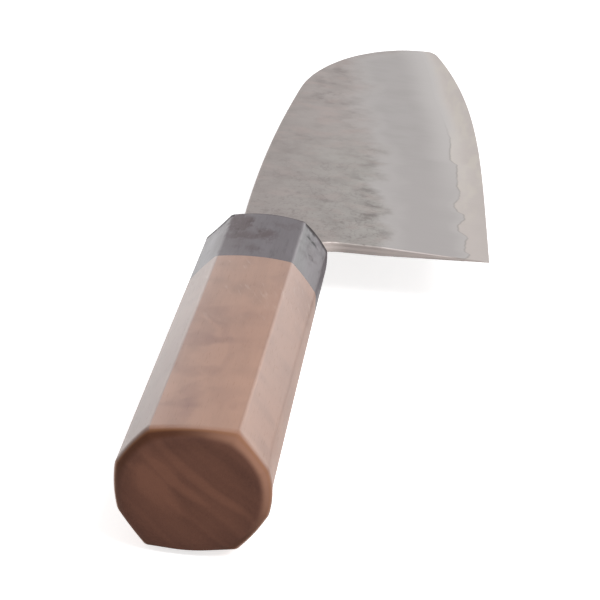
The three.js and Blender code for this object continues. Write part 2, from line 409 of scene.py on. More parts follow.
def darkWoodFinish():
    material, desk = newMaterial("darkWood")
    at = overAxis(desk)
    along, across, upward = at.split()
    ridge, upper = painted(desk, "ridge", "upper")
    wobble = 0.0
    for size, reach in (darkWood["coarseWobble"], darkWood["fineWobble"]):
        wobble = (at.grain(size) - 0.5) * reach + wobble
    placed = soaked(along + wobble, across + wobble * 0.6, darkWood["clouds"])
    placed = placed * upward.ease(*darkWood["cloudHeight"])
    clouds = (at.grain(darkWood["cloudSize"], 4.0, 0.6).ease(0.55, 0.68) * 0.4 + placed).clamp()
    streaks = at.grain(darkWood["streakSize"], 4.0, 0.6).ease(0.54, 0.72)
    greyed = at.grain(darkWood["greySize"]).ease(0.45, 0.7)
    fibre = at.grain(darkWood["fibreSize"], 2.0)
    torn = at.grain(darkWood["tornSize"]).ease(0.54, 0.66) * placed
    # dark cuts, and painted shade near the upper ridge of the right chamfer
    cuts = soaked(along + wobble * 0.2, upward + wobble * 0.3, darkWood["cuts"])
    cuts = cuts * across.off(*darkWood["cutSide"]) * at.grain(darkWood["nickSize"]).ease(0.35, 0.6)
    shade = upward.ease(*darkWood["shadeHeight"]) * (1 - upper) * across.off(*darkWood["shadeSide"])
    rim = (along + wobble * 0.15 - upper * darkWood["rimNarrowing"]).ease(*darkWood["rimStart"])
    colour = layered(
        (greyed * 0.6).tinted(darkWood["black"], darkWood["grey"]),
        (streaks * 0.35, darkWood["deep"]),
        (clouds * 0.75, darkWood["brown"]),
        (torn.clamp() * 0.3, darkWood["worn"]),
        (cuts * 0.8, darkWood["deep"]),
        (shade * 0.75, darkWood["deep"]),
        # painted highlight on the ridges
        (ridge * fibre * 0.3, darkWood["worn"]),
        (rim * 0.85, darkWood["rim"]),
    )
    surfaced(desk, {
        "Base Color": colour,
        "Roughness": 0.36 + clouds * 0.16 + cuts * 0.2 + streaks * 0.08 + rim * 0.4 + (fibre - 0.5) * 0.08,
        "IOR": 1.5,
        "Normal": bumped(desk, fibre * 0.4 - streaks * 0.5 - clouds * 0.3, 0.14, 0.04),
    })
    return material


# cladding: rough forged skin above, satin ground steel below, a dark line at the weld
soft = {
    "ground": tint(183, 178, 177),
    "skin": tint(175, 167, 164),
    "skinNear": tint(172, 168, 164),
    "skinFar": tint(161, 153, 150),
    "skinDark": tint(140, 131, 128),
    "blotch": tint(118, 110, 108),
    "blush": tint(176, 162, 158),
    "smear": tint(168, 163, 160),
    "line": tint(150, 140, 135),
    "halo": tint(200, 195, 193),
    "choil": tint(170, 160, 156),
    "neck": tint(204, 193, 188),
    "grazing": grey(0.7),
    # sizes along the blade, up it and through it
    "driftSize": (16, 16, 16),
    "lumpSize": (6.5, 6.5, 6.5),
    "patchSize": (2.4, 2.4, 2.4),
    "pitSize": (0.6, 0.6, 0.6),
    "stainSize": (3.6, 3.6, 3.6),
    "fleckSize": (3.4, 1.7, 1.7),
    "foldSize": (6, 3, 3),
    "blushSize": (5, 6, 6),
    "smearSize": (7, 12, 12),
    "scratchSize": (0.16, 14, 14),
    # where a tone comes in or goes out along the blade, and the pale neck upward
    "closeEnd": (22, 70),
    "nearEnd": (60, 110),
    "softStart": (40, 120),
    "smearStart": (60, 100),
    "glowStart": (20, 105),
    "lineEnd": (84, 122),
    "neckStart": (-15.5, -9.5),
    # widths of the glow beside the weld line and of the line itself
    "wideGlow": 7.0,
    "narrowGlow": 3.5,
    "lineWidth": (0.08, 0.4),
    # where the border of the skin lies higher or lower: place along the blade, reach and amount
    "borderShifts": [(106, 32, -2.4), (153, 14, 1.6), (80, 14, 0.6)],
    # how far drift, lumps and patches move it, and how soft it is
    "borderReach": (9, 5, 3),
    "borderWidth": (-2.4, 2.4),
    # heights over it: a seam of stains, brighter steel below, and darker skin far above with its drift
    "seamHeight": 2,
    "seamWidth": (1.0, 5.0),
    "brightStart": (-6, -2),
    "farStart": (0, 26),
    "farReach": 16,
    # dark stains along the border of the skin
    "stains": [
        (42, -19, 7, 4, 0.7), (34, -17.5, 6, 5, 0.8), (27, -14, 5, 6, 0.6), (51, -17, 5, 3.5, 0.6),
        (23, -21, 4, 4, 0.6), (41, -7, 6, 3, 0.7), (31, -10, 5, 3, 0.5), (124, -2, 7, 3.5, 1.0),
        (135, 0, 6, 3, 0.9), (118, -8, 6, 3, 0.7), (148, -3, 6, 3, 0.8), (144, -7, 6, 3, 0.8),
        (71, 3, 8, 3, 0.5), (88, 1, 7, 3, 0.4),
    ],
}


def choilTone(upward):  # bare metal around the notch, palest under the neck
    return upward.ease(*soft["neckStart"]).tinted(soft["choil"], soft["neck"])


def claddingFinish():
    material, desk = newMaterial("forgedCladding")
    at = overAxis(desk)
    along, upward, _ = at.split()
    skin, weld, choil = painted(desk, "skin", "weld", "choil")
    drift = at.grain(soft["driftSize"], 1.0)
    lumps = at.grain(soft["lumpSize"], 4.0, 0.55)
    patches = at.grain(soft["patchSize"], 4.0, 0.6)
    pits = at.grain(soft["pitSize"], 1.0)
    scratches = at.grain(soft["scratchSize"], 2.0)
    shift = 0.0
    for place, reach, amount in soft["borderShifts"]:
        shift = (along - place).math("ABSOLUTE").off(0.0, reach) * amount + shift
    border = skin + shift
    for wander, reach in zip((drift, lumps, patches), soft["borderReach"]):
        border = border + (wander - 0.5) * reach
    rough = (border * (1 - along.ease(*soft["softStart"]) * 0.5)).ease(*soft["borderWidth"])
    near = along.off(*soft["nearEnd"])
    close = along.off(*soft["closeEnd"])

    # forged skin
    mottle = lumps.ease(0.38, 0.72) * 0.5 + patches.ease(0.42, 0.75) * (0.2 + near * 0.15)
    mottle = mottle + (pits - 0.5) * (0.12 + close * 0.28)
    stains = at.grain(soft["stainSize"], 5.0, 0.62)
    seam = (border - soft["seamHeight"]).math("ABSOLUTE").off(*soft["seamWidth"])
    marks = soaked(along + (lumps - 0.5) * 12, upward + (patches - 0.5) * 6, soft["stains"])
    blotches = stains.ease(0.5, 0.62) * seam * (0.15 + near * 0.2) + stains.ease(0.4, 0.58) * marks * 0.42
    flecks = at.grain(soft["fleckSize"], 3.0, 0.6).ease(0.54, 0.68)
    folds = (at.grain(soft["foldSize"], 3.0, 0.55) - 0.5).math("ABSOLUTE").off(0.0, 0.035)
    blushes = at.grain(soft["blushSize"]).ease(0.48, 0.66)
    skinTone = layered(
        near.tinted(soft["skin"], soft["skinNear"]),
        ((skin + (drift - 0.5) * soft["farReach"]).ease(*soft["farStart"]), soft["skinFar"]),
        (mottle.clamp() * 0.7, soft["skinDark"]),
        (blotches.clamp(0.0, 0.7), soft["blotch"]),
        (pits.ease(0.63, 0.72) * close * 0.4 + flecks * (0.05 + close * 0.3), soft["blotch"]),
        (folds * near * drift.ease(0.4, 0.6) * 0.25, soft["blotch"]),
        (blushes * (0.45 - near * 0.15), soft["blush"]),
    )

    # ground steel, brighter beside the weld line
    smears = at.grain(soft["smearSize"], 3.0, 0.55).ease(0.42, 0.62) * along.ease(*soft["smearStart"])
    groundTone = layered(
        (scratches * 0.2 + drift * 0.25).tinted(soft["ground"], soft["skin"]),
        (smears * 0.35, soft["smear"]),
        (border.ease(*soft["brightStart"]) * 0.3, soft["halo"]),
    )
    glow = weld.off(0.0, soft["wideGlow"]) * (0.1 + along.ease(*soft["glowStart"]) * 0.9)
    glow = glow.math("MAXIMUM", weld.off(0.0, soft["narrowGlow"]) * 0.6)
    broken = lumps.ease(0.35, 0.55) * 0.3 + 0.2
    colour = layered(
        rough.tinted(groundTone, skinTone),
        (glow * (1 - rough), soft["halo"]),
        (weld.off(*soft["lineWidth"]) * along.off(*soft["lineEnd"]) * broken, soft["line"]),
        (choil * 0.85, choilTone(upward)),
    )
    relief = rough * (lumps * 0.4 + patches * 0.5 + pits * 0.5) + (1 - rough) * scratches * 0.12
    surfaced(desk, {
        "Base Color": colour,
        "Metallic": 1.0,
        "Roughness": 0.36 + rough * 0.14 + (scratches - 0.5) * 0.1 + choil * 0.15,
        "Specular Tint": soft["grazing"],
        "Normal": bumped(desk, relief, 0.4, 0.06),
    })
    return material


# core: bright hard steel with fine sharpening lines
hard = {
    "bright": tint(204, 194, 189),
    "cream": tint(209, 201, 190),
    "glow": tint(213, 206, 201),
    "grey": tint(190, 181, 176),
    "grazing": grey(0.75),
    # sizes along the blade, up it and through it
    "scratchSize": (0.14, 10, 10),
    "cloudSize": (7, 2, 2),
    "creamSize": (12, 2.5, 2.5),
    # where a tone comes in along the blade
    "creamStart": (25, 60),
    "glowStart": (35, 100),
    "haloStart": (90, 118),
    # heights over the grind line where it turns to the colour of the skin
    "skinStart": (0.0, 4.0),
    # beside the weld line: where the grey comes in, and widths of the glow, the halo and the line itself
    "greyStart": (0.5, 6.0),
    "glowWidth": 4.0,
    "haloWidth": 3.0,
    "lineWidth": (0.02, 0.25),
}


def coreFinish():
    material, desk = newMaterial("brightCore")
    at = overAxis(desk)
    along, upward, _ = at.split()
    skin, weld, choil = painted(desk, "skin", "weld", "choil")
    scratches = at.grain(hard["scratchSize"], 2.0)
    clouds = at.grain(hard["cloudSize"])
    creams = at.grain(hard["creamSize"], 2.0).ease(0.4, 0.65)
    greyed = scratches * 0.3 + clouds * 0.25 + weld.ease(*hard["greyStart"]) * 0.3
    colour = layered(
        greyed.tinted(hard["bright"], hard["grey"]),
        (creams * along.ease(*hard["creamStart"]) * 0.5, hard["cream"]),
        (weld.off(0.0, hard["glowWidth"]) * along.ease(*hard["glowStart"]) * 0.7, hard["glow"]),
        (along.ease(*hard["haloStart"]) * weld.off(0.0, hard["haloWidth"]), soft["halo"]),
        (weld.off(*hard["lineWidth"]) * along.off(*soft["lineEnd"]) * 0.35, soft["line"]),
        (skin.ease(*hard["skinStart"]) * 0.7, soft["skin"]),
        (choil * 0.85, choilTone(upward)),
    )
    surfaced(desk, {
        "Base Color": colour,
        "Metallic": 1.0,
        "Roughness": 0.33 + (scratches - 0.5) * 0.12 + (clouds - 0.5) * 0.08,
        "Specular Tint": hard["grazing"],
        "Normal": bumped(desk, scratches, 0.2, 0.02),
    })
    return material


# inside the handle: two tones each, size of the grain, roughness and its spread, bump and its depth
dowelWood = {
    "name": "paleDowel",
    "tones": (tint(210, 176, 130), tint(176, 140, 96)),
    "size": (10, 0.4, 0.4),
    "rough": (0.62, 0.15),
    "bump": (0.3, 0.05),
}
glue = {
    "name": "amberGlue",
    "tones": (tint(158, 124, 66), tint(120, 90, 44)),
    "size": (3, 3, 3),
    "rough": (0.3, 0.2),
    "bump": (0.2, 0.05),
}
filler = {
    "name": "blackFiller",
    "tones": (tint(36, 32, 31), tint(22, 19, 19)),
    "size": (1.2, 1.2, 1.2),
    "rough": (0.4, 0.25),
    "bump": (0.3, 0.04),
}


def innerFinish(look):
    material, desk = newMaterial(look["name"])
    cloud = overAxis(desk).grain(look["size"])
    rough, spread = look["rough"]
    surfaced(desk, {
        "Base Color": cloud.tinted(*look["tones"]),
        "Roughness": rough + cloud * spread,
        "Normal": bumped(desk, cloud, *look["bump"]),
    })
    return material


walnutMaterial = walnutFinish()
ferruleMaterial = darkWoodFinish()
claddingMaterial = claddingFinish()
coreMaterial = coreFinish()
print("finishes mixed")


def addPiece(name, mesh, material, nodes):
    piece = bpy.data.objects.new(name, mesh)
    objects.link(piece)
    if material.name not in mesh.materials:
        mesh.materials.append(material)
    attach(piece, "root")
    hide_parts(*nodes)


# handle: an octagon that tapers to the ferrule and turns a little, lofted by one tree for both woods
handle = {
    "handleLength": 126.2,
    "ferruleLength": 28.0,
    "twist": math.radians(-3.2),
    "buttSection": {"spine": 12.3, "edge": 11.65, "low": 11.8, "height": 9.8, "wide": 7.3, "side": 3.9},
    "frontSection": {"spine": 11.5, "edge": 11.5, "low": 10.9, "height": 8.65, "wide": 6.8, "side": 3.4},
    # bulge of the facets, from the spine side over the top, opposite ones alike, and what the front adds
    "crowns": (0.355, 0.3, 0.43, 0.1),
    "swells": (0.0, -0.3, 0.32, 0.15),
    "swellPower": 4.0,
    "facetPoints": 12,
    "ridgeSetback": 0.45,
    "ridgePoints": 5,
    # the bevel's length and curve, and the oval it ends in
    "bevelZone": 2.8,
    "bevelCurve": 1.35,
    "bevelBlend": 0.85,
    "ovalWidth": 10.8,
    "ovalHeight": 9.25,
    "ovalPower": 2.15,
    # toward the butt the edge side flares a little, beyond flareSide off the axis, and bows out
    "flare": 0.5,
    "flareStart": 108.0,
    "flareSide": 8.0,
    "flareBlend": 4.0,
    "flareBow": 0.45,
    "bowHeight": 4.472,
    "boreDiameter": 13.0,
    "boreSides": 48,
    # painted grey sheen of the facets that have any, and the facet that lies uppermost
    "haze": {1: 1.0, 3: 0.35},
    "upperFacet": 2,
    "sharpAngle": math.radians(40),
}


def octagonSection(size):
    spine, edge, low, h, t, s = (size[k] for k in ("spine", "edge", "low", "height", "wide", "side"))
    corners = np.array([
        [low, -s], [spine, s], [t, h], [-t, h],
        [-edge, s], [-low, -s], [-t, -h], [t, -h],
    ])
    following = np.roll(corners, -1, axis=0)
    facets = []
    for k, (start, end) in enumerate(zip(corners, following)):
        run = end - start
        length = np.hypot(*run)
        outward = np.array([run[1], -run[0]]) / length
        back = handle["ridgeSetback"] / length
        along = np.linspace(back, 1 - back, handle["facetPoints"])[:, None]
        bulge = handle["crowns"][k % 4] * 4 * along * (1 - along)
        facets.append(start + run * along + outward * bulge)
    across = np.linspace(0, 1, handle["facetPoints"])
    turns = np.linspace(0, 1, handle["ridgePoints"] + 2)[1:-1]
    together = len(across) + len(turns)
    points, ridge, haze, upper, swell = [], [], [], [], []
    for k, (facet, corner) in enumerate(zip(facets, following)):
        after = facets[(k + 1) % len(facets)][0]
        points.extend(facet)
        points.extend(facet[-1] * (1 - u) ** 2 + corner * 2 * u * (1 - u) + after * u ** 2 for u in turns)
        ridge.extend([0.0] * len(across) + [1.0] * len(turns))
        haze.extend([handle["haze"].get(k, 0.0)] * together)
        upper.extend([float(k == handle["upperFacet"])] * together)
        swell.extend(handle["swells"][k % 4] * 4 * across * (1 - across))
        swell.extend([0.0] * len(turns))
    return np.array(points), {"ridge": ridge, "haze": haze, "upper": upper, "swell": swell}


def sectionRing():
    buttPoints, values = octagonSection(handle["buttSection"])
    frontPoints, _ = octagonSection(handle["frontSection"])
    count = len(buttPoints)
    mesh = bpy.data.meshes.new("sectionRing")
    flat = np.column_stack([np.zeros(count), buttPoints])
    mesh.from_pydata(flat.tolist(), [(i, (i + 1) % count) for i in range(count)], [])
    slim = mesh.attributes.new("slim", "FLOAT_VECTOR", "POINT")
    slim.data.foreach_set("vector", np.column_stack([np.zeros(count), frontPoints]).ravel())
    for key, value in values.items():
        mesh.attributes.new(key, "FLOAT", "POINT").data.foreach_set("value", value)
    return mesh


def loftTree():
    tree = bpy.data.node_groups.new("octagonLoft", "GeometryNodeTree")
    inputs = {
        "Geometry": ("Section",),
        "Int": ("Cap Rings", "Bevel Rings", "Body Rings", "Round Rings", "Bore Sides"),
        "Float": (
            "Handle Length", "Back", "Front", "Twist", "Dome", "Front Round", "Swell Power",
            "Bevel Zone", "Bevel Length", "Bevel Curve", "Bevel Blend",
            "Oval Width", "Oval Height", "Oval Power",
            "Flare", "Flare Start", "Flare Side", "Flare Blend", "Flare Bow", "Bow Height",
            "Bore Diameter", "Bore Back", "Bore Front",
        ),
        "Vector": ("Slot",),
        "Material": ("Material",),
    }
    for kind, names in inputs.items():
        for name in names:
            tree.interface.new_socket(name, in_out="INPUT", socket_type="NodeSocket" + kind)
    tree.interface.new_socket("Piece", in_out="OUTPUT", socket_type="NodeSocketGeometry")
    desk = Wire(tree)
    given = desk.add("NodeGroupInput").side
    section = given("Section")

    # a grid with one column for each point of the section and one row for each ring
    around = desk.add("GeometryNodeAttributeDomainSize", {}, {"Geometry": section}, "Point Count")
    capRings, bevelRings, bodyRings, roundRings = (
        given(name) for name in ("Cap Rings", "Bevel Rings", "Body Rings", "Round Rings"))
    stations = capRings + bevelRings + bodyRings + roundRings + 2
    grid = desk.add("GeometryNodeMeshGrid", {}, {"Vertices X": around + 1, "Vertices Y": stations}, "Mesh")
    index = desk.add("GeometryNodeInputIndex")
    column = ((index + 0.5) / stations).math("FLOOR")
    station = index - column * stations
    ringPoint = column - around * (column / around).math("FLOOR")

    def sampled(value, kind="FLOAT"):  # what the section holds at this column
        return desk.add("GeometryNodeSampleIndex", {"data_type": kind}, {
            "Geometry": section, "Value": value, "Index": ringPoint})

    def named(name, kind="FLOAT"):
        return desk.add("GeometryNodeInputNamedAttribute", {"data_type": kind}, {"Name": name})

    # place of each ring, from the middle of the butt to the middle of the front
    cap = (station / capRings).clamp()
    bevel = ((station - capRings) / bevelRings).clamp()
    body = ((station - capRings - bevelRings) / bodyRings).clamp()
    turnIn = ((station - capRings - bevelRings - bodyRings) / roundRings).clamp() * (math.pi / 2)
    closing = (station - stations + 2).clamp()
    frontRound, dome = given("Front Round"), given("Dome")
    x = (given("Back") + dome * cap * cap + (given("Bevel Length") - dome) * bevel ** given("Bevel Curve")
         + (given("Front") - frontRound - given("Back") - given("Bevel Length")) * body
         + frontRound * turnIn.math("SINE"))
    share = (0 - x / (given("Handle Length") - given("Bevel Zone"))).clamp()

    # its outline
    _, wideY, wideZ = sampled(desk.add("GeometryNodeInputPosition"), "FLOAT_VECTOR").split()
    _, slimY, slimZ = sampled(named("slim", "FLOAT_VECTOR"), "FLOAT_VECTOR").split()
    y = slimY + (wideY - slimY) * share
    z = slimZ + (wideZ - slimZ) * share
    flared = ((0 - x - given("Flare Start")) / (given("Handle Length") - given("Flare Start"))).clamp()
    level = z / given("Bow Height")
    bowed = given("Flare") + given("Flare Bow") * (1 - level * level).clamp()
    y = y - flared * flared * ((0 - y - given("Flare Side")) / given("Flare Blend")).clamp() * bowed
    radius = (y * y + z * z).math("SQRT")
    across = ((y / radius).math("ABSOLUTE") / given("Oval Width")) ** given("Oval Power")
    upward = ((z / radius).math("ABSOLUTE") / given("Oval Height")) ** given("Oval Power")
    oval = (across + upward) ** (-1 / given("Oval Power"))
    swell = sampled(named("swell")) * (1 - share) ** given("Swell Power")
    blended = oval + (radius - oval) * bevel ** given("Bevel Blend") + swell
    inset = frontRound * (1 - turnIn.math("COSINE"))
    scale = (blended - inset) / radius * cap * (1 - closing)
    angle = given("Twist") * share
    sine, cosine = angle.math("SINE"), angle.math("COSINE")
    place = desk.add("ShaderNodeCombineXYZ", {}, {
        "X": x,
        "Y": (y * cosine - z * sine) * scale,
        "Z": (y * sine + z * cosine) * scale,
    })
    shape = desk.add("GeometryNodeSetPosition", {}, {"Geometry": grid, "Position": place})
    kept = {name: sampled(named(name)) for name in ("ridge", "haze", "upper")}
    for name, value in {**kept, "endGrain": 1 - bevel}.items():
        shape = desk.add("GeometryNodeStoreNamedAttribute", {"data_type": "FLOAT", "domain": "POINT"}, {
            "Geometry": shape, "Name": name, "Value": value})
    shape = desk.add("GeometryNodeMergeByDistance", {}, {"Geometry": shape, "Distance": mergeGap})

    # bore for the dowel and slot for the tang
    rod = desk.add("GeometryNodeMeshCylinder", {}, {
        "Vertices": given("Bore Sides"),
        "Radius": given("Bore Diameter") / 2,
        "Depth": given("Bore Front") - given("Bore Back"),
    }, "Mesh")
    middle = desk.add("ShaderNodeCombineXYZ", {}, {"X": (given("Bore Front") + given("Bore Back")) / 2})
    rod = desk.add("GeometryNodeTransform", {}, {
        "Geometry": rod, "Translation": middle, "Rotation": (0, math.pi / 2, 0)})
    cut = desk.add("GeometryNodeMeshCube", {}, {"Size": given("Slot")}, "Mesh")
    for tool in (rod, cut):
        shape = desk.add("GeometryNodeMeshBoolean", {"operation": "DIFFERENCE", "solver": "EXACT"}, {
            "Mesh 1": shape, "Mesh 2": tool}, "Mesh")
    shape = desk.add("GeometryNodeSetShadeSmooth", {}, {"Geometry": shape})
    shape = desk.add("GeometryNodeRealizeInstances", {}, {"Geometry": shape})
    shape = desk.add("GeometryNodeSetMaterial", {}, {"Geometry": shape, "Material": given("Material")})
    desk.add("NodeGroupOutput", {}, {"Piece": shape})
    return tree


def lofted(name, tree, values):
    holder = bpy.data.objects.new(name + "Holder", sectionRing())
    objects.link(holder)
    modifier = holder.modifiers.new("loft", "NODES")
    modifier.node_group = tree
    for socket in tree.interface.items_tree:
        key = socket.name[0].lower() + socket.name[1:].replace(" ", "")
        if key in values:
            modifier[socket.identifier] = values[key]
    evaluated = holder.evaluated_get(bpy.context.evaluated_depsgraph_get())
    mesh = bpy.data.meshes.new_from_object(evaluated)
    holder.modifiers.clear()
    bpy.data.objects.remove(holder)
    mesh.name = name
    mesh.transform(toFrame)
    shaped = bmesh.new()
    shaped.from_mesh(mesh)
    bmesh.ops.recalc_face_normals(shaped, faces=shaped.faces)
    shaped.to_mesh(mesh)
    shaped.free()
    mesh.set_sharp_from_angle(angle=handle["sharpAngle"])
    return mesh


octagonTree = loftTree()
# a key here or in handle that is named like an input of the tree sets it
grip = {
    "capRings": 8,
    "bevelRings": 8,
    "bodyRings": 60,
    "roundRings": 1,
    "back": -handle["handleLength"],
    "front": -handle["ferruleLength"],
    "bevelLength": handle["bevelZone"],
    "dome": 0.25,
    "frontRound": 0.02,
    "boreBack": -97.3,
    "boreFront": -20.0,  # past the front, so the bore is open there
    "slot": (1.0, 1.0, 1.0),  # lies in front of the grip and cuts nothing
    "material": walnutMaterial,
}
ferrule = {
    "capRings": 1,
    "bevelRings": 1,
    "bodyRings": 24,
    "roundRings": 6,
    "back": -handle["ferruleLength"],
    "front": 0.0,
    "bevelLength": 0.0,
    "dome": 0.0,
    "frontRound": 0.5,
    "boreBack": -40.0,  # past the back
    "boreFront": -5.0,
    "slot": (20.0, 10.6, 3.7),
    "material": ferruleMaterial,
}
gripMesh = lofted("walnutGrip", octagonTree, {**handle, **grip})
addPiece("walnutGrip", gripMesh, walnutMaterial, ["handle_body"])
ferruleMesh = lofted("darkFerrule", octagonTree, {**handle, **ferrule})
addPiece("darkFerrule", ferruleMesh, ferruleMaterial, ["ferrule"])
print("handle lofted:", len(gripMesh.polygons), "and", len(ferruleMesh.polygons), "faces")

# blade: three layers between the spine and the edge, parted along a wandering weld line
blade = {
    "heelX": 13.6, "heelY": -42.0, "length": 162.38,
    "crestX": 37.0, "crestY": 6.9, "spineRadius": 1250.0,
    "noseStart": 115.6, "noseEndY": -21.7,
    "edgeSlope": 0.06, "bellyRise": 9.2, "bellyPower": 4.2, "tipRound": 2.8,
    "spine": 2.7, "grind": 1.84, "grindTip": 1.1, "edge": 0.1,
    "grindHeight": 20.5, "grindHeightTip": 24.0, "grindRatio": 0.97,
    "neckY": -8.0, "fillet": 5.0, "shoulder": 1.5,
    "tang": 85.0, "tangRoot": 4.0, "tangHeight": (9.0, 5.0), "tangThick": (2.1, 1.5),
    "borderRound": 0.32,
    # height of the weld line over the edge, along the blade from the heel
    "weldLine": [
        (0, 4.9), (1.2, 4.0), (3.5, 3.6), (5, 4.6), (12.5, 4.3), (14, 3.7), (18.5, 5.7), (21.5, 5.8),
        (27, 4.3), (30, 4.4), (32, 5.8), (36.5, 6.3), (41, 5.1), (45, 4.9), (51, 5.4), (66, 5.0),
        (69.5, 6.3), (74.5, 6.3), (85, 5.7), (118, 6.9), (126, 6.6), (163, 3.6),
    ],
    # its small waves: length, height and where the noise is read, then where they end and over what length
    "weldWaves": [(1.7, 0.22, (3.1, 0.7)), (0.8, 0.12, (9.4, 0.2))],
    "waveEnd": 120.0, "waveFade": 30.0,
    # gap between the layers, least thickness and height of the cladding, least share above the core's weld
    "weldGap": 0.004, "leastSkin": 0.004, "leastHeight": 0.15, "leastAbove": 0.08,
    # forged skin: depth, sizes of lumps and patches, where their noise is read, wander of the border
    "relief": 0.035, "lump": 4.2, "patch": 1.7, "lumpNoise": 1.3, "patchNoise": 6.1, "patchShare": 0.6,
    "borderWander": 1.5, "borderWidth": 2.0,
    # width of the bare band round the notch, and where it grows toward the heel
    "choilBand": 0.06, "choilGrowth": 0.3, "choilStart": -18.0, "choilReach": 12.0,
    # columns of faces, the last turn of the nose in degrees, and the gaps between the stretches
    "tangColumns": 24, "neckColumns": 30, "bodyColumns": 250, "noseColumns": 70, "noseTurn": 89.4,
    "shoulderGap": 0.3, "heelGap": 0.2, "bodyGap": 0.6,
    # heights at the heel where the bands of rows part, and rows in each band
    "bandHeights": (4.2, -4.6, -13.0),
    "claddingRows": (12, 16, 20, 44), "coreRows": (2, 2, 2, 6), "edgeRows": 16,
    # steps of the columns from the heel on and of the rows at a rounded border
    "heelSteps": (0, 0.03, 0.09, 0.17, 0.25, 0.33), "borderSteps": (0, 0.03, 0.09, 0.17, 0.26, 0.34),
    "borderShare": 0.4, "leastBand": 0.0001,
    # slack where places are compared, edges that are closed up, and the angle of a sharp one
    "slack": 1e-6, "shortEdge": 0.0002, "sharpAngle": math.radians(35),
}


def spineAt(x):
    arc = blade["crestY"] - (x - blade["crestX"]) ** 2 / (2 * blade["spineRadius"])
    end = blade["crestY"] - (blade["length"] - blade["crestX"]) ** 2 / (2 * blade["spineRadius"])
    along = np.clip((x - blade["noseStart"]) / (blade["length"] - blade["noseStart"]), 0, 1)
    return arc - (end - blade["noseEndY"]) * (1 - np.sqrt(1 - along ** 2))


def edgeAt(x):
    x = np.maximum(x, 0)
    share = np.minimum(x / blade["length"], 1)
    rise = blade["edgeSlope"] * blade["length"] * share + blade["bellyRise"] * share ** blade["bellyPower"]
    low = blade["heelY"] + rise
    along = np.clip((x - blade["length"]) / blade["tipRound"] + 1, 0, 1)
    return low + (blade["noseEndY"] - low) * (1 - np.sqrt(1 - along ** 2))


def grindLine(x):  # y of the line, and its full height over the edge
    share = np.maximum(x, 0) / blade["length"]
    height = blade["grindHeight"] + (blade["grindHeightTip"] - blade["grindHeight"]) * share
    bottom, top = edgeAt(x), spineAt(x)
    return np.minimum(bottom + height, bottom + (top - bottom) * blade["grindRatio"]), height


def halfThickness(x, y):
    share = np.maximum(x, 0) / blade["length"]
    line, height = grindLine(x)
    full = blade["grind"] + (blade["grindTip"] - blade["grind"]) * share
    bottom = edgeAt(x)
    slope = (full - blade["edge"]) / height
    flatHeight = spineAt(0.0) - blade["heelY"] - blade["grindHeight"]
    flatSlope = (blade["spine"] - blade["grind"]) / flatHeight * full / blade["grind"]
    ground = blade["edge"] / 2 + slope * (np.minimum(y, line) - bottom) / 2
    return ground + flatSlope * np.maximum(y - line, 0) / 2


def weldHeight(x):
    places, heights = np.array(blade["weldLine"]).T
    waves = np.zeros_like(x)
    for length, height, seed in blade["weldWaves"]:
        waves += height * np.array([noise.noise(Vector((u / length, *seed))) for u in x])
    return np.interp(x, places, heights) + waves * np.clip((blade["waveEnd"] - x) / blade["waveFade"], 0, 1)


weldAtHeel = blade["heelY"] + blade["weldLine"][0][1]


def weldAt(x):  # level behind the heel
    fromHeel = x - blade["heelX"]
    return np.where(fromHeel < 0, weldAtHeel, edgeAt(fromHeel) + weldHeight(fromHeel))


def bladeColumns():
    heel = blade["heelX"]
    nose = heel + blade["noseStart"]
    turn = np.radians(np.linspace(0, blade["noseTurn"], blade["noseColumns"]))
    return np.concatenate([
        np.linspace(-blade["tang"], blade["shoulder"] - blade["shoulderGap"], blade["tangColumns"]),
        np.linspace(blade["shoulder"], heel - blade["heelGap"], blade["neckColumns"]),
        heel + np.array(blade["heelSteps"]),
        np.linspace(heel + blade["bodyGap"], nose, blade["bodyColumns"])[:-1],
        nose + (blade["length"] - blade["noseStart"]) * np.sin(turn),
    ])


def neckBottom(x):
    centre = blade["heelX"] - blade["fillet"]
    over = np.clip(x - centre, 0, blade["fillet"])
    return blade["neckY"] - blade["fillet"] + np.sqrt(blade["fillet"] ** 2 - over ** 2)


def tangHalf(x, sizes):
    share = (blade["tangRoot"] - x) / (blade["tangRoot"] + blade["tang"])
    return (sizes[0] + (sizes[1] - sizes[0]) * share) / 2


def notchDistance(x, y):  # to the neck's underside and the heel's back
    centre = blade["heelX"] - blade["fillet"]
    low = blade["neckY"] - blade["fillet"]
    toFillet = np.hypot(x - centre, y - low) - blade["fillet"]
    return np.where(x < centre, y - blade["neckY"], np.where(y > low, toFillet, x - blade["heelX"]))


def outlineDistance(x, y):  # to the notch and the spine
    return np.minimum(notchDistance(x, y), spineAt(x - blade["heelX"]) - y)


def eased(half, distance):  # rounds the borders over
    radius = np.minimum(blade["borderRound"], half / 2)
    into = np.clip(radius - distance, 0, radius)
    return half - (radius - np.sqrt(np.maximum(radius ** 2 - into ** 2, 0)))


def bandSteps(span, count, closeStart, closeEnd):  # shares of a band's height, crowded at a rounded border
    close = np.array(blade["borderSteps"])[None]
    near = close * np.minimum(1, blade["borderShare"] * span / close.max()) / span
    last = near[:, -1:]
    others = count + 1 - close.size
    if closeStart:
        rest = np.arange(1, others)[None] / others
        return np.concatenate([near, last + (1 - last) * rest], axis=1)
    if closeEnd:
        rest = np.arange(others)[None] / others
        return np.concatenate([(1 - last) * rest, 1 - near[:, :0:-1]], axis=1)
    return np.arange(count)[None] / count * np.ones_like(span)


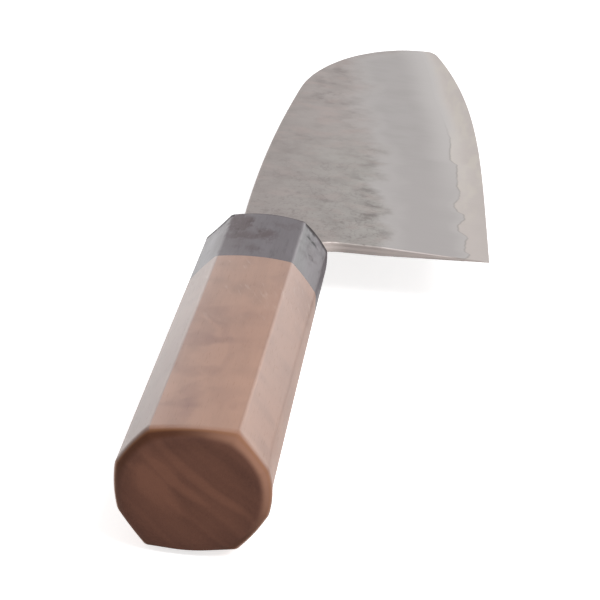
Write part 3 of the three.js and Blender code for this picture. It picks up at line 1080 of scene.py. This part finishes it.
def rowLines(x, rows, lowest):  # y of every grid row in every column, from the spine down
    fromHeel = x - blade["heelX"]
    top = spineAt(fromHeel)
    atHeel = spineAt(0.0)
    shares = [(atHeel - height) / (atHeel - weldAtHeel) for height in blade["bandHeights"]]
    lines = [top] + [top - share * (top - lowest) for share in shares] + [lowest]
    neck = np.clip((x - blade["shoulder"]) / (blade["heelX"] - blade["shoulder"]), 0, 1)
    half = tangHalf(x, blade["tangHeight"])
    for k, tangSide in ((1, half), (2, -half)):
        lines[k] = np.where(fromHeel < 0, tangSide + (lines[k] - tangSide) * neck, lines[k])
    lines[3] = np.where(fromHeel < 0, neckBottom(x), lines[3])
    bands = []
    for k, count in enumerate(rows):
        span = np.maximum(lines[k] - lines[k + 1], blade["leastBand"])[:, None]
        crowded = count > len(blade["borderSteps"])
        steps = bandSteps(span, count, k == 0 and crowded, k == 2 and crowded)
        bands.append(lines[k][:, None] - span * steps)
    return np.concatenate(bands + [lines[-1][:, None]], axis=1)


def solidFromSheets(name, x, y, outer, inner, keep):
    columns, rows = y.shape
    index = np.arange(columns * rows).reshape(columns, rows)
    corners = np.stack([index[:-1, :-1], index[:-1, 1:], index[1:, 1:], index[1:, :-1]], axis=-1)[keep]
    under = corners[:, ::-1] + columns * rows
    sides = np.concatenate([corners[:, [k, (k + 1) % 4]] for k in range(4)])
    known = set(map(tuple, sides.tolist()))
    border = np.array([side for side in known if (side[1], side[0]) not in known])
    border = border[np.lexsort(border.T)]
    walls = np.column_stack([border[:, ::-1], border + columns * rows])
    across = x[:, None] + 0 * y
    points = np.concatenate([np.stack([across, y, z], axis=-1).reshape(-1, 3) for z in (outer, inner)])
    usedPoints, faces = np.unique(np.concatenate([corners, under, walls]), return_inverse=True)
    mesh = bpy.data.meshes.new(name)
    mesh.from_pydata(points[usedPoints].tolist(), [], faces.reshape(-1, 4).tolist())
    fromHeel = x - blade["heelX"]
    growth = np.clip((blade["choilStart"] - y) / blade["choilReach"], 0, 1)
    bare = blade["choilBand"] + blade["choilGrowth"] * growth
    values = {
        "skin": y - grindLine(fromHeel)[0][:, None],
        "weld": np.abs(y - (edgeAt(fromHeel) + weldHeight(fromHeel))[:, None]),
        "choil": np.clip(1 - notchDistance(across, y) / bare, 0, 1),
    }
    for key, value in values.items():
        both = np.concatenate([value.ravel(), value.ravel()])[usedPoints]
        mesh.attributes.new(key, "FLOAT", "POINT").data.foreach_set("value", both.astype(np.float32))
    shaped = bmesh.new()
    shaped.from_mesh(mesh)
    bmesh.ops.remove_doubles(shaped, verts=shaped.verts, dist=mergeGap)
    bmesh.ops.dissolve_degenerate(shaped, edges=shaped.edges, dist=blade["shortEdge"])
    bmesh.ops.recalc_face_normals(shaped, faces=shaped.faces)
    for face in shaped.faces:
        face.smooth = True
    shaped.to_mesh(mesh)
    shaped.free()
    mesh.transform(toFrame)
    mesh.set_sharp_from_angle(angle=blade["sharpAngle"])
    return mesh


def layerHalf(x):  # half thickness of the core where the layers meet
    fromHeel = np.maximum(x - blade["heelX"], 0)
    return halfThickness(fromHeel, edgeAt(fromHeel) + weldHeight(fromHeel))[:, None]


def keptFaces(x, counts):  # tang, neck and blade take more of the bands in turn
    band = np.repeat(np.arange(len(counts)), counts)
    ends = x[1:]
    keep = np.zeros((len(ends), len(band)), bool)
    keep[:, band == 1] = True
    keep[np.ix_(ends > blade["shoulder"] + blade["slack"], (band == 0) | (band == 2))] = True
    keep[np.ix_(ends > blade["heelX"] + blade["slack"], band > 2)] = True
    return keep


def surfaceHalf(x, y):
    columns = x[:, None] * np.ones_like(y)
    half = halfThickness(columns - blade["heelX"], y)
    half = eased(half, outlineDistance(columns, y))
    tangThick = tangHalf(columns, blade["tangThick"])
    return np.where(columns < blade["shoulder"] - blade["slack"], tangThick, half)


def forgedRelief(x, y):  # the uneven skin above the grind
    line, _ = grindLine(x - blade["heelX"])
    relief = np.zeros_like(y)
    for i, u in enumerate(x):
        if u < blade["shoulder"]:
            continue
        for j, v in enumerate(y[i]):
            lump = noise.noise(Vector((u / blade["lump"], v / blade["lump"], blade["lumpNoise"])))
            patch = noise.noise(Vector((u / blade["patch"], v / blade["patch"], blade["patchNoise"])))
            above = (v - line[i] + blade["borderWander"] * lump) / blade["borderWidth"] + 0.5
            relief[i, j] = blade["relief"] * min(max(above, 0), 1) * (lump + blade["patchShare"] * patch)
    return relief


def claddingMesh(name, side):
    x = bladeColumns()
    weldY = weldAt(x)
    thin = (spineAt(x - blade["heelX"]) - weldY < blade["leastHeight"]) & (x > blade["heelX"])
    end = np.nonzero(thin)[0][0]
    x, weldY = x[:end], weldY[:end]
    y = rowLines(x, blade["claddingRows"], weldY)
    inner = layerHalf(x) + blade["weldGap"] + np.zeros_like(y)
    outer = np.maximum(surfaceHalf(x, y) + forgedRelief(x, y), inner + blade["leastSkin"])
    pastHeel = x >= blade["heelX"] - blade["slack"]
    outer[pastHeel, -1] = inner[pastHeel, -1]
    return solidFromSheets(name, x, y, outer * side, inner * side, keptFaces(x, blade["claddingRows"]))


def coreMesh(name):
    x = bladeColumns()
    top, bottom = spineAt(x - blade["heelX"]), edgeAt(x - blade["heelX"])
    weldY = np.minimum(weldAt(x), top - blade["leastAbove"] * (top - bottom))
    steps = np.linspace(0, 1, blade["edgeRows"] + 1)[None, 1:]
    bareRows = weldY[:, None] - (weldY - bottom)[:, None] * steps
    y = np.concatenate([rowLines(x, blade["coreRows"], weldY), bareRows], axis=1)
    half = np.minimum(surfaceHalf(x, y), layerHalf(x))
    return solidFromSheets(name, x, y, half, -half, keptFaces(x, (*blade["coreRows"], blade["edgeRows"])))


for name, side, node in (("rightCladding", 1, "cladding_right"), ("leftCladding", -1, "cladding_left")):
    mesh = claddingMesh(name, side)
    addPiece(name, mesh, claddingMaterial, [node])
    print(name, "forged:", len(mesh.polygons), "faces")
mesh = coreMesh("hardCore")
addPiece("hardCore", mesh, coreMaterial, ["blade_core"])
print("core ground:", len(mesh.polygons), "faces")

# inner pieces keep their CAD shapes
for node, look in (("dowel", dowelWood), ("tang_bedding", glue), ("neck_seal", filler)):
    frame["nodes"][node].data.materials.clear()
    frame["nodes"][node].data.materials.append(innerFinish(look))
print("inner pieces finished")

# camera behind the butt, as in the photograph: place in metres from the axis, turns in degrees
view = {
    "lens": 222.0,
    "sensor": 36.0,
    "clip": (0.01, 50.0),
    "place": (-0.666513, -0.046767, 0.208537),
    "turns": (72.0496, -4.6193, -85.1022),
}
camera = bpy.data.objects.new("camera", bpy.data.cameras.new("camera"))
camera.data.lens = view["lens"]
camera.data.sensor_width = view["sensor"]
camera.data.clip_start, camera.data.clip_end = view["clip"]
camera.location = axisPoint + Vector(view["place"])
camera.rotation_euler = [math.radians(turn) for turn in view["turns"]]
objects.link(camera)
bpy.context.scene.camera = camera

# studio in metres: white world, pale floor, soft lamps
studio = {
    "ambient": 0.4,
    "floor": 0.9,
    "floorLift": 0.72,
    "floorReach": 4.0,
    "floorDrop": 0.0002,
    # reflections show less of the floor on the edge side: how much, and where it rises, from the axis
    "edgeSheen": 0.15,
    "sheenRise": (-0.03, 0.02),
    # place, aim, size and power of each lamp
    "lamps": {
        "keyRight": ((-0.6, -0.75, 1.25), (0.0, 0.0, 0.0), 1.2, 18.0),
        "leftFar": ((2.0, 0.85, 0.15), (0.0, 0.0, 0.01), 1.2, 5.3),
        "rightFar": ((2.0, -0.8, 0.25), (0.0, 0.0, 0.01), 1.2, 4.6),
    },
}


def seenDirectly(desk, sheen):  # rays that show the background itself, with its strength in reflections
    path = desk.add("ShaderNodeLightPath", out="Is Camera Ray")
    mirrored = path.side("Is Glossy Ray") * sheen
    return path.math("MAXIMUM", mirrored).math("MAXIMUM", path.side("Is Transmission Ray"))


world = bpy.data.worlds.new("studio")
bpy.context.scene.world = world
world.use_nodes = True
world.node_tree.nodes.clear()
desk = Wire(world.node_tree)
sky = desk.add("ShaderNodeBackground", {}, {
    "Color": seenDirectly(desk, 1.0).tinted(grey(studio["ambient"]), grey(1.0)),
    "Strength": 1.0,
})
desk.add("ShaderNodeOutputWorld", {}, {"Surface": sky})

floorMaterial, desk = newMaterial("paleFloor")
_, beside, _ = desk.add("ShaderNodeTexCoord", out="Object").split()
rise = beside.ease(*[axisPoint.y + offset for offset in studio["sheenRise"]])
sheen = rise * (1 - studio["edgeSheen"]) + studio["edgeSheen"]
surfaced(desk, {
    "Base Color": grey(studio["floor"]),
    "Roughness": 1.0,
    "Specular IOR Level": 0.0,
    "Emission Color": seenDirectly(desk, sheen).tinted(grey(0.0), grey(1.0)),
    "Emission Strength": studio["floorLift"],
})
floorMesh = bpy.data.meshes.new("floor")
reach, drop = studio["floorReach"], studio["floorDrop"]
floorCorners = [(x * reach, y * reach, -drop) for x, y in ((-1, -1), (1, -1), (1, 1), (-1, 1))]
floorMesh.from_pydata(floorCorners, [], [(0, 1, 2, 3)])
floorMesh.materials.append(floorMaterial)
floor = bpy.data.objects.new("floor", floorMesh)
objects.link(floor)

for name, (place, aim, size, power) in studio["lamps"].items():
    lamp = bpy.data.objects.new(name, bpy.data.lights.new(name, "AREA"))
    lamp.data.shape = "DISK"
    lamp.data.size = size
    lamp.data.energy = power
    lamp.location = place
    lamp.visible_camera = False
    lamp.rotation_euler = (Vector(aim) - Vector(place)).to_track_quat("-Z", "Y").to_euler()
    objects.link(lamp)
print("studio lit")

bpy.context.scene.view_settings.view_transform = "Standard"
